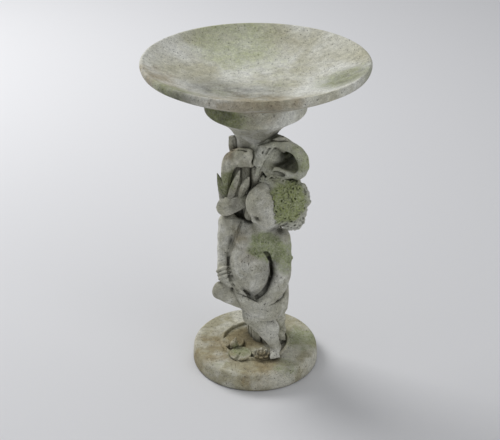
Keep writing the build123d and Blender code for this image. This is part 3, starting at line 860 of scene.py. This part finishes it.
head = Clay(head_centre - 68, head_centre + 68, cell(1.0))
head.add(Ball(on_head(-2, 0, 6), (45, 38, 41), head_axes), 10)
head.add(Ball(on_head(15, 0, -6), (34, 35, 34), head_axes), 14)
head.add(Ball(on_head(20, 0, 14), (29, 34, 28), head_axes), 12)
head.add(Ball(on_head(33, 0, -32), (11, 13, 9), head_axes), 12)
for s in (-1, 1):
    head.add(Ball(on_head(29, 16 * s, -19), (15, 14, 15), head_axes), 9)
    head.add(Tube([on_head(45, 5 * s, 3), on_head(42, 15 * s, 6), on_head(34, 25 * s, 2)], [4, 4, 3]), 8)
    head.cut(Ball(on_head(49, 15 * s, -3.5), (7, 9, 5.5), head_axes), 6)
    head.add(Ball(on_head(36.5, 15 * s, -4), (8, 8.6, 7.2), head_axes), 2)
    lower_lid = [on_head(45.6, 8 * s, -6), on_head(46, 14 * s, -7.4), on_head(41.5, 21.5 * s, -6)]
    upper_lid = [on_head(45.5, 8 * s, 0.5), on_head(45.6, 15 * s, 2.2), on_head(40.8, 22.5 * s, -1)]
    for lid in (lower_lid, upper_lid):
        head.cut(Tube(lid, 0.7), 1.2)
    head.add(Ball(on_head(-2, 41 * s, -8), (7, 4.5, 11), head_axes), 3)
    head.cut(Ball(on_head(-1, 46 * s, -7), (3.4, 3.5, 6.5), head_axes), 2)
    head.add(Ball(on_head(47, 4.6 * s, -13), (3.6, 3.6, 3.0), head_axes), 3)
head.add(Tube([on_head(44, 0, 2), on_head(48, 0, -5), on_head(51, 0, -11)], [3.4, 3.8, 4.8]), 5)
upper_lip = [on_head(42, -9, -23), on_head(45.5, -3, -21.4), on_head(45.5, 3, -21.4), on_head(42, 9, -23)]
head.add(Tube(upper_lip, [1.8, 3.0, 3.0, 1.8]), 3)
head.add(Ball(on_head(43, 0, -27), (4.2, 7, 3.4), head_axes), 3)
head.cut(Tube([on_head(43.5, -9.5, -23.8), on_head(49, 0, -24.2), on_head(43.5, 9.5, -23.8)], 0.9), 1.6)
head.add(Tube([on_head(2, 0, -28), spot(16, -48, 300)], [23, 21]), 10)
head.roughen(19, 0.35, 8)
show("child_head_cast", head.skin("child_head_cast"), figure_stone, "cast_stone_figure", "child_head")

# The hair is a cap of loose curls: spirals spread over the cap, turned at random and pressed into it.
curling, curl_in = new_tree(
    "curls over a scalp",
    curl_spacing=0.0098,
    curl_radius=0.0074,
    curl_turns=1.5,
    strand_radius=0.0021,
    seed=7,
    material=None,
)
add = partial(put, curling)
spread = add(
    "GeometryNodeDistributePointsOnFaces",
    {
        "Mesh": curl_in["Geometry"],
        "Distance Min": curl_in["Curl spacing"],
        "Density Max": 22000.0,
        "Seed": curl_in["Seed"],
    },
    distribute_method="POISSON",
)
spiral = add(
    "GeometryNodeCurveSpiral",
    {
        "Resolution": 16,
        "Rotations": curl_in["Curl turns"],
        "Start Radius": 0.0014,
        "End Radius": curl_in["Curl radius"],
        "Height": add(MATH, (curl_in["Curl radius"], -0.4), operation="MULTIPLY"),
    },
)
strand = add("GeometryNodeCurvePrimitiveCircle", {"Resolution": 8, "Radius": curl_in["Strand radius"]})
curl = add("GeometryNodeCurveToMesh", {"Curve": spiral, "Profile Curve": strand, "Fill Caps": True})
raised = add(MATH, (curl_in["Curl radius"], 0.3), operation="MULTIPLY")
raised = add("ShaderNodeCombineXYZ", {2: raised})
curl = add("GeometryNodeTransform", {"Geometry": curl, "Translation": raised})
spin = add(
    "FunctionNodeRandomValue",
    {"Min": (0.0, 0.0, 0.0), "Max": (0.5, 0.5, 6.28), "Seed": curl_in["Seed"]},
    data_type="FLOAT_VECTOR",
)
turned_curl = add(
    "FunctionNodeRotateRotation",
    {
        "Rotation": spread.outputs["Rotation"],
        "Rotate By": add("FunctionNodeEulerToRotation", {"Euler": spin}),
    },
    rotation_space="LOCAL",
)
curl_size = add(
    "FunctionNodeRandomValue", {2: 0.75, 3: 1.25, "Seed": curl_in["Seed"]}, data_type="FLOAT"
).outputs[1]
curls = add(
    "GeometryNodeInstanceOnPoints",
    {"Points": spread.outputs["Points"], "Instance": curl, "Rotation": turned_curl, "Scale": curl_size},
)
with_scalp = add("GeometryNodeJoinGeometry", (curls,))
curling.links.new(curl_in["Geometry"], with_scalp.inputs[0])
finish_tree(curling, with_scalp, curl_in["Material"])

hair = Clay(head_centre - 80, head_centre + 90, 1.8)
hair.add(Ball(spot(58, -46, 357), np.array((44, 41, 45)) * SCALE), 8)
hair.add(Ball(spot(70, -52, 322), np.array((23, 23, 24)) * SCALE), 12)
hair.add(Ball(on_head(-1, 0, 7), (49, 46, 47), head_axes), 8)
hair.keep(on_head(19, 0, 0), head_ahead * 0.95 + head_up * 0.40, 6)
scalp = hair.skin("scalp")
fused = bpy.data.objects.new("working", worked(scalp, curling, material=mossy_stone))
bpy.context.scene.collection.objects.link(fused)
remesh = fused.modifiers.new("fuse", "REMESH")
remesh.mode = "VOXEL"
remesh.voxel_size = 0.95 * MM
soften = fused.modifiers.new("soften", "SMOOTH")
soften.factor = 0.5
soften.iterations = 2
curly = bpy.data.meshes.new_from_object(fused.evaluated_get(bpy.context.evaluated_depsgraph_get()))
bpy.data.objects.remove(fused)
show("child_curls", curly, mossy_stone, "cast_stone_mossy", "child_hair")

# ======== the hood leaf over the child's head ========

hood_centre = spot(46, -53, 442)
hood_look = np.array((-0.20, -0.95, 0.16))
hood_look /= np.linalg.norm(hood_look)
hood_side = np.cross(hood_look, (0, 0, 1))
hood_side /= np.linalg.norm(hood_side)
hood_rise = np.cross(hood_side, hood_look)
hood_axes = np.stack([hood_look, -hood_side, hood_rise])


def on_hood(out, right, up):
    """A place measured from the middle of the hood's mouth."""
    return hood_centre + np.array((out, right, up)) @ hood_axes


class Shell:
    """A wall of even thickness round an egg."""

    def __init__(self, egg, wall):
        self.egg, self.wall = egg, wall
        self.low, self.high = egg.low - wall, egg.high + wall

    def distance(self, points):
        return np.abs(self.egg.distance(points)) - self.wall / 2


hood = Clay(hood_centre - 75, hood_centre + 75, cell(1.15))
hood.add(Shell(Ball(on_hood(0, 0, 0), (48, 49, 33), hood_axes), 7), 3)
hood.keep(on_hood(2, 0, 0), hood_look, 3)
brim = (
    ((-2, -43, 432), 3.2),
    ((0, -44, 446), 3.2),
    ((8, -45, 460), 3.4),
    ((22, -47, 468), 3.8),
    ((37, -48, 472), 4.4),
    ((53, -50, 470), 6.5),
    ((69, -53, 466), 9),
    ((83, -57, 456), 10.5),
    ((90, -61, 440), 10.5),
    ((89, -62, 424), 9),
    ((80, -60, 412), 6.5),
    ((65, -57, 415), 4.6),
    ((51, -55, 421), 4),
    ((38, -53, 424), 3.6),
    ((28, -51, 418), 3),
)
brim_line = smooth_path([spot(*place) for place, _ in brim], 60)
brim_girth = np.interp(np.linspace(0, len(brim) - 1, 60), range(len(brim)), [size for _, size in brim])
hood.add(Tube(brim_line, brim_girth), 5)
hood.cut(Ball(spot(14, -54, 432), (20, 12, 20)), 4)
hood.add(Ball(spot(14, -31, 444), (32, 11, 34)), 6)
hood.add(Ball(spot(36, -24, 452), (34, 11, 32)), 14)
hood.add(Ball(spot(43, -46, 410), (22, 8, 9)), 5)
hood.add(Tube([spot(30, -42, 416), spot(52, -46, 411), spot(70, -48, 408)], [7, 8, 6]), 5)
for brim_x, brim_z, fold_x, fold_z in (
    (1, 450, 3, 440),
    (10, 462, 8, 446),
    (21, 467, 15, 450),
    (33, 468, 23, 451),
):
    flute = [
        spot(brim_x, -45, brim_z),
        spot(fold_x, -43.5, fold_z),
        spot(2 + 0.3 * fold_x, -45, 426),
        spot(-1 + 0.3 * fold_x, -46, 408),
    ]
    hood.add(Tube(smooth_path(flute, 14), np.linspace(3.0, 1.8, 14)), 1.6)
hood.roughen(17, 0.7, 3)
show("hood_leaf_cast", hood.skin("hood_leaf_cast"), mossy_stone, "cast_stone_mossy", "hood_leaf")

# ======== leaves round the sheaf ========

folded_places = (
    (-55, -12, 346),
    (-56, -14, 378),
    (-54, -18, 408),
    (-44, -26, 432),
    (-26, -34, 440),
    (-8, -41, 442),
)
folded_line = smooth_path([spot(*p) for p in folded_places], 30)
folded_girth = np.interp(np.linspace(0, 5, 30), range(6), (4, 9, 12.5, 16, 18.5, 17.5))
folded = Clay(spot(-84, -72, 330), spot(34, 20, 474), cell(1.15))
folded.add(Tube(folded_line, folded_girth), 4)
for k in range(7):
    a = math.radians(150 + 34 * k)
    ridge = [
        place + girth * np.array((-0.55 * math.cos(a), -0.85 * math.sin(a) - 0.2, 0.8 * math.cos(a)))
        for place, girth in zip(folded_line, folded_girth)
    ]
    folded.cut(Tube(ridge, 1.1), 2.5)
folded.keep(spot(-3, -41, 442), (1, -0.2, 0.1), 3)
folded.cut(Ball(spot(-3, -48, 438), (6, 12, 7)), 4)
folded.roughen(15, 0.7, 5)
show("folded_leaf_cast", folded.skin("folded_leaf_cast"), leaf_stone, "cast_stone_figure", "folded_leaf")

stem_places = ((24, -12, 440), (10, -28, 428), (4, -36, 406), (2, -36, 384), (-4, -33, 352), (-10, -32, 316))
stem_line = smooth_path([spot(*p) for p in stem_places], 26)
stem_girth = np.interp(np.linspace(0, 5, 26), range(6), (16, 15, 11, 9, 10, 12))
stem = Clay(spot(-34, -62, 300), spot(52, -2, 462), cell(1.15))
stem.add(Tube(stem_line, stem_girth), 4)
for across in (-0.62, -0.2, 0.22, 0.64):
    way = np.array((across, -math.sqrt(1 - across**2), 0))
    groove = [place + girth * way for place, girth in zip(stem_line, stem_girth)]
    stem.cut(Tube(groove, 1.5), 2)
show("hood_stem", stem.skin("hood_stem"), leaf_stone, "cast_stone_figure")

leaves = {
    "left_tall_leaf": (
        [(-44, 2, 250), (-52, -2, 296), (-59, -8, 338), (-66, -11, 370), (-74, -12, 396)],
        [(-0.6, -0.7, 0.1)] * 5,
        (14, 17, 14, 9, 1),
        8,
        0.15,
        ["left_tall_blade"],
    ),
    "sheath_leaf": (
        [(-36, 0, 250), (-42, -2, 310), (-46, -4, 370), (-44, -8, 420), (-38, -10, 444)],
        [(-0.5, -0.85, 0.0)] * 5,
        (16, 22, 22, 16, 6),
        8,
        -0.15,
        [],
    ),
    "collar_leaf": (
        [(8, -38, 364), (-16, -46, 357), (-42, -43, 343), (-60, -32, 334), (-72, -22, 336)],
        [(-0.1, -0.9, 0.3), (-0.2, -0.9, 0.3), (-0.3, -0.8, 0.4), (-0.3, -0.8, 0.4), (-0.3, -0.8, 0.4)],
        (8, 11, 15, 18, 10),
        8,
        0.10,
        ["front_collar_blade"],
    ),
    "spear_bud_cast": (
        [(-51, -30, 344), (-45, -38, 368), (-38, -42, 392), (-30, -45, 418)],
        [(-0.2, -1, 0)] * 4,
        (5, 7, 6, 1),
        11,
        0.0,
        ["spear_bud"],
    ),
    "seed_pod_cast": (
        [(-30, -42, 356), (-25, -46, 374), (-19, -48, 390), (-13, -46, 404)],
        [(-0.1, -1, 0)] * 4,
        (4, 7.5, 7.5, 2),
        13,
        0.0,
        ["seed_pod"],
    ),
}
root_leaf = Clay(spot(10, -52, -6), spot(84, 40, 118), cell(1.2))
root_spine = smooth_path([spot(*p) for p in ((46, 2, -3), (47, -4, 30), (47, -8, 64), (43, -10, 94))], 16)
root_leaf.add(Tube(root_spine, np.linspace(17.5, 13, 16)), 4)
root_leaf.roughen(13, 1.6, 12)
root_leaf.roughen(7, 0.8, 13)
made = root_leaf.skin("right_root_leaf")
show("right_root_leaf", made, leaf_stone, "cast_stone_figure", "right_root_blade")

for name, (spine, facing, widths, thick, cup, stands_for) in leaves.items():
    made = leaf(name, [spot(*p) for p in spine], facing, widths, thick, cup)
    show(name, made, leaf_stone, "cast_stone_figure", *stands_for)


def along_trunk(azimuth, out, height):
    """A place beside the sheaf, at an azimuth, at a distance out from its middle line and at a height."""
    left_over = 1 - height / (neck_low[2] - PLINTH_TOP)
    way = np.array((math.cos(math.radians(azimuth)), math.sin(math.radians(azimuth)), 0))
    return np.array((24 * left_over, 26 * left_over, PLINTH_TOP + height)) + way * out


for name, azimuth, start, end, width, node in (
    ("back_left_leaf", 146, -2, 318, 32, "back_left_blade"),
    ("back_right_leaf", 40, -2, 330, 30, "back_right_blade"),
    ("back_leaf", 92, -2, 400, 32, "back_blade"),
):
    standing = ((0, 36), (0.3, 39), (0.6, 41), (0.85, 46), (1, 53))
    rise = [along_trunk(azimuth, out, start + (end - start) * t) for t, out in standing]
    way = (math.cos(math.radians(azimuth)), math.sin(math.radians(azimuth)), 0.0)
    made = leaf(name, rise, [way] * 5, (20, width, width, 16, 1), 9, -0.3)
    show(name, made, leaf_stone, "cast_stone_figure", node)

for name, azimuth, rise, breadth, way in (
    ("left_leaf_tip", 176, ((32, -50), (36, -28), (40, -6), (43, 17)), (11, 12, 13, 8), (-0.5, -0.85, 0.1)),
    ("right_leaf_tip", 322, ((42, -14), (53, 10), (62, 24), (67, 34)), (13, 17, 17, 9), (0.15, -0.85, 0.5)),
    ("back_leaf_tip", 88, ((30, -52), (37, -28), (44, -6), (56, 18)), (12, 14, 12, 5), (0.0, 1.0, 0.3)),
):
    base = neck_low[2] - PLINTH_TOP
    spine = [along_trunk(azimuth, out, base + height) for out, height in rise]
    made = leaf(name, spine, [way] * 4, breadth, 10, 0.1)
    show(name + "_cast", made, leaf_stone, "cast_stone_figure", name)

# The sheaf itself is a bundle of reeds from the plinth to the neck, round a solid core.
bundling, reed_in = new_tree(
    "sheaf of reeds",
    reeds=15,
    root_radius=0.027,
    top_radius=0.028,
    reed_radius=0.0085,
    bulge=0.004,
    root_x=0.024,
    root_y=0.026,
    root_z=0.03,
    top_z=0.49,
    material=None,
)
add = partial(put, bundling)
one_reed = add("GeometryNodeCurvePrimitiveLine", {"Start": (0, 0, 0), "End": (0, 0, 1)})
stepped = add("GeometryNodeResampleCurve", {"Curve": one_reed, "Count": 48})
starts = add("GeometryNodePoints", {"Count": reed_in["Reeds"]})
numbered = add(
    "GeometryNodeStoreNamedAttribute",
    {"Geometry": starts, "Name": "reed", "Value": add("GeometryNodeInputIndex")},
    data_type="FLOAT",
    domain="POINT",
)
many = add("GeometryNodeInstanceOnPoints", {"Points": numbered, "Instance": stepped})
real = add("GeometryNodeRealizeInstances", {"Geometry": many})
which = add("GeometryNodeInputNamedAttribute", {"Name": "reed"}, data_type="FLOAT")
level = add("ShaderNodeSeparateXYZ", (add("GeometryNodeInputPosition"),)).outputs[2]
left_over = add(MATH, (1.0, level), operation="SUBTRACT")
phase = add(MATH, (level, 7.0), operation="MULTIPLY")
phase = add(MATH, (which, 2.3, phase), operation="MULTIPLY_ADD")
sway = add(MATH, (phase,), operation="SINE")
turn = add(MATH, (which, reed_in["Reeds"]), operation="DIVIDE")
turn = add(MATH, (turn, 2 * math.pi), operation="MULTIPLY")
turn = add(MATH, (sway, 0.10, turn), operation="MULTIPLY_ADD")
arch = add(MATH, (level, math.pi), operation="MULTIPLY")
arch = add(MATH, (arch,), operation="SINE")
spread_out = add(MATH, (reed_in["Root radius"], left_over), operation="MULTIPLY")
spread_out = add(MATH, (reed_in["Top radius"], level, spread_out), operation="MULTIPLY_ADD")
spread_out = add(MATH, (arch, reed_in["Bulge"], spread_out), operation="MULTIPLY_ADD")
reed_place = []
for axis, wave in (("x", "COSINE"), ("y", "SINE")):
    lean = add(MATH, (reed_in["Root " + axis], left_over), operation="MULTIPLY")
    swing = add(MATH, (turn,), operation=wave)
    reed_place.append(add(MATH, (swing, spread_out, lean), operation="MULTIPLY_ADD"))
climb = add(MATH, (reed_in["Root z"], left_over), operation="MULTIPLY")
reed_place.append(add(MATH, (reed_in["Top z"], level, climb), operation="MULTIPLY_ADD"))
reed_place = add("ShaderNodeCombineXYZ", reed_place)
placed = add("GeometryNodeSetPosition", {"Geometry": real, "Position": reed_place})
section = add("GeometryNodeCurvePrimitiveCircle", {"Resolution": 14, "Radius": reed_in["Reed radius"]})
reeds = add("GeometryNodeCurveToMesh", {"Curve": placed, "Profile Curve": section, "Fill Caps": True})
bundle = add("GeometryNodeJoinGeometry", (reeds,))
bundling.links.new(reed_in["Geometry"], bundle.inputs[0])
finish_tree(bundling, bundle, reed_in["Material"])

core_line = [along_trunk(0, 0, height) for height in (-3, 150, 300, 451)]
core = leaf("core", core_line, [(0, -1, 0)] * 4, (30, 31, 30, 30), thickness=60, rib=0.0, veins=0.0)
roots, tops = (PLINTH_TOP - 4) * MM, (neck_low[2] + 2) * MM
sheaf = worked(core, bundling, material=leaf_stone, root_z=roots, top_z=tops)
show("reed_sheaf", sheaf, leaf_stone, "cast_stone_figure", "leaf_trunk")

# ======== the pond on the plinth ========

bank_inner = (pond_radius - 11, PLINTH_TOP - 5)
bank_crest = (pond_radius - 6, PLINTH_TOP + 4.6)
bank_profile = [
    bank_inner,
    *arc_through(bank_inner, bank_crest, (0.2, 1), (1, 0.1), 12),
    *arc_through(bank_crest, (pond_radius, PLINTH_TOP - 2), (1, 0), (0.5, -1), 12),
    bank_inner,
]
bank_profile.reverse()
bank = turned(
    "pond_bank",
    bank_profile,
    plinth_stone,
    steps_around=160,
    steps_along=30,
    unevenness=0.003,
    wave_size=0.03,
)
show("pond_bank", bank, plinth_stone, "cast_stone_plinth", "pond_rim")

for name, centre, radius, node in (
    ("left_pad_cast", (-46, -10), 24, "left_lily_pad"),
    ("front_pad_cast", (-30, -53), 24, "front_lily_pad"),
):
    middle = np.array((*centre, PLINTH_TOP + 1.5))
    pad = Clay(middle - (34, 34, 9.5), middle + (34, 34, 12.5), 1.2)
    pad.add(Ball(middle, (radius - 1, radius - 1, 4.5)), 2)
    edge_line = [
        middle + ((radius - 3) * math.cos(a), (radius - 3) * math.sin(a), 1.5)
        for a in np.linspace(0, 2 * math.pi, 25)
    ]
    pad.add(Tube(edge_line, 2.3), 2)
    for k in range(9):
        a = math.radians(40 * k + 10)
        rib_end = middle + (0.85 * radius * math.cos(a), 0.85 * radius * math.sin(a), 1.8)
        pad.add(Tube([middle + (0, 0, 3.5), rib_end], [1.5, 0.8]), 1.5)
    notch = math.radians(250)
    notch_end = middle + (radius * math.cos(notch), radius * math.sin(notch), 2)
    pad.cut(Tube([middle + (0, 0, 4), notch_end], [0.8, 4]), 1)
    show(name, pad.skin(name), plinth_stone, "cast_stone_plinth", node)

petalling, petal_in = new_tree(
    "ring of petals",
    petals=8,
    reach=0.011,
    petal_length=0.020,
    petal_width=0.010,
    tilt=0.7,
    lift=0.004,
    turn=0.0,
    material=None,
)
add = partial(put, petalling)
petal = add("GeometryNodeMeshUVSphere", {"Segments": 16, "Rings": 10, "Radius": 0.5})
petal_size = add("ShaderNodeCombineXYZ", (petal_in["Petal length"], petal_in["Petal width"], 0.0055))
petal = add("GeometryNodeTransform", {"Geometry": petal, "Scale": petal_size})
raising = add(MATH, (petal_in["Tilt"], -1.0), operation="MULTIPLY")
raising = add("ShaderNodeCombineXYZ", {1: raising})
petal = add("GeometryNodeTransform", {"Geometry": petal, "Rotation": raising})
shift = add("ShaderNodeCombineXYZ", {0: petal_in["Reach"], 2: petal_in["Lift"]})
petal = add("GeometryNodeTransform", {"Geometry": petal, "Translation": shift})
petal_starts = add("GeometryNodePoints", {"Count": petal_in["Petals"]})
petal_share = add(MATH, (add("GeometryNodeInputIndex"), petal_in["Petals"]), operation="DIVIDE")
petal_turn = add(MATH, (petal_share, 2 * math.pi), operation="MULTIPLY")
petal_turn = add(MATH, (petal_in["Turn"], petal_turn), operation="ADD")
petal_turn = add("ShaderNodeCombineXYZ", {2: petal_turn})
flower = add(
    "GeometryNodeInstanceOnPoints", {"Points": petal_starts, "Instance": petal, "Rotation": petal_turn}
)
finish_tree(petalling, flower, petal_in["Material"])

lily_middle = sum(corners("water_lily")) / 2
inner_ring = {"petals": 6, "turn": 0.4, "reach": 0.006, "tilt": 1.1, "lift": 0.008}
inner_ring |= {"petal_length": 0.015, "petal_width": 0.009}
rings = [
    worked(bpy.data.meshes.new(title), petalling, material=plinth_stone, **ring)
    for title, ring in (("outer petals", {"petals": 8}), ("inner petals", inner_ring))
]
heart = Clay((-14, -14, -4), (14, 14, 18), 1.2)
heart.add(Ball((0, 0, 4), (12, 12, 6)), 2)
heart.add(Ball((0, 0, 9), (5, 5, 5)), 3)
flower_mesh = joined("water_lily_cast", [*rings, heart.skin("heart")])
flower_mesh.transform(Matrix.Translation((lily_middle[0] * MM, lily_middle[1] * MM, PLINTH_TOP * MM)))
show("water_lily_cast", flower_mesh, plinth_stone, "cast_stone_plinth", "water_lily")

bud_low, bud_high = corners("lily_bud")
bud_middle = (bud_low + bud_high) / 2
bud = Clay(bud_low - 4, bud_high + 4, 1.0)
bud.add(Ball(bud_middle - (1, 1, 3), (9, 8.5, 8)), 3)
bud.add(Tube([bud_middle, bud_middle + (3, 2, 10)], [6.5, 2.5]), 4)
for k in range(5):
    a = math.radians(72 * k)
    seam_foot = bud_middle + (8.5 * math.cos(a), 8.5 * math.sin(a), -6)
    seam_tip = bud_middle + (3 * math.cos(a) + 3, 3 * math.sin(a) + 2, 10)
    bud.cut(Tube([seam_foot, seam_tip], 0.9), 1.2)
show("lily_bud_cast", bud.skin("lily_bud_cast"), plinth_stone, "cast_stone_plinth", "lily_bud")

# ======== steel inside the castings ========


def steel(name, bare, patched, roughness):
    """Drawn steel bar: metal with a dull, blotchy skin of zinc or rust, so its gleam is broken and soft."""
    material = bpy.data.materials.new(name)
    material.use_nodes = True
    tree = material.node_tree
    tree.nodes.clear()
    add = partial(put, tree)
    where = add("ShaderNodeTexCoord").outputs["Object"]
    blotch = add(NOISE, {"Vector": where, "Scale": 1 / (5 * MM), "Detail": 4.0})
    colour = add("ShaderNodeMix", {0: blotch, 6: linear(bare), 7: linear(patched)}, data_type="RGBA")
    rough = add(REMAP, {0: blotch, 3: roughness - 0.1, 4: roughness + 0.15})
    look = {"Base Color": colour.outputs[2], "Roughness": rough, "Metallic": 1.0}
    add("ShaderNodeOutputMaterial", {"Surface": add("ShaderNodeBsdfPrincipled", look)})
    return material


zinc = steel("galvanised steel, pin", "#9ea1a3", "#787c80", 0.45)
rusty = steel("rusted mild steel, bars", "#6b4a35", "#4b3a30", 0.75)
metals = {"locating_pin": zinc, "basin_hoop": rusty, "basin_spokes": rusty, "core_bar": rusty}
for node, metal in metals.items():
    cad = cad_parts[node]
    cad.data.materials.clear()
    cad.data.materials.append(metal)

# ======== floor, light and camera ========

floor_material = bpy.data.materials.new("matt white paper sweep")
floor_material.use_nodes = True
floor_shader = floor_material.node_tree.nodes["Principled BSDF"]
floor_shader.inputs["Base Color"].default_value = linear("#dcdcde")
floor_shader.inputs["Roughness"].default_value = 0.95
floor_corners = [(-9000, -4000, 0), (9000, -4000, 0), (9000, 12000, 0), (-9000, 12000, 0)]
floor_mesh = mesh_from("floor", floor_corners, [(0, 1, 2, 3)])
floor_mesh.materials.append(floor_material)
floor = bpy.data.objects.new("floor", floor_mesh)
bpy.context.scene.collection.objects.link(floor)

world = bpy.data.worlds.new("studio")
world.use_nodes = True
world.node_tree.nodes["Background"].inputs["Color"].default_value = linear("#f1f3f6")
world.node_tree.nodes["Background"].inputs["Strength"].default_value = 0.45
bpy.context.scene.world = world


def softbox(name, place, aim, size, power):
    """A square studio light, pointed at a place; metres and watts."""
    light = bpy.data.lights.new(name, "AREA")
    light.size = size
    light.energy = power
    lamp = bpy.data.objects.new(name, light)
    lamp.location = place
    direction = np.array(place) - np.array(aim)
    across = np.cross((0, 0, 1), direction)
    across /= np.linalg.norm(across)
    direction = direction / np.linalg.norm(direction)
    matrix = np.eye(4)
    matrix[:3] = np.stack([across, np.cross(direction, across), direction, place], 1)
    lamp.matrix_world = matrix.T.tolist()
    bpy.context.scene.collection.objects.link(lamp)


softbox("key", (-2.1, 1.9, 2.5), (-0.2, 0.5, 0.2), 1.8, 84)
softbox("fill", (1.7, -1.8, 1.7), (0, 0, 0.3), 1.8, 12)

bpy.context.scene.view_settings.view_transform = "Standard"
camera = bpy.data.cameras.new("camera")
camera.sensor_width = 36
camera.lens = 80.2
eye = bpy.data.objects.new("camera", camera)
eye.location = (-0.01075, -1.951, 1.360)
eye.rotation_euler = (math.radians(90 - 27.98), 0, 0)
bpy.context.scene.collection.objects.link(eye)
bpy.context.scene.camera = eye
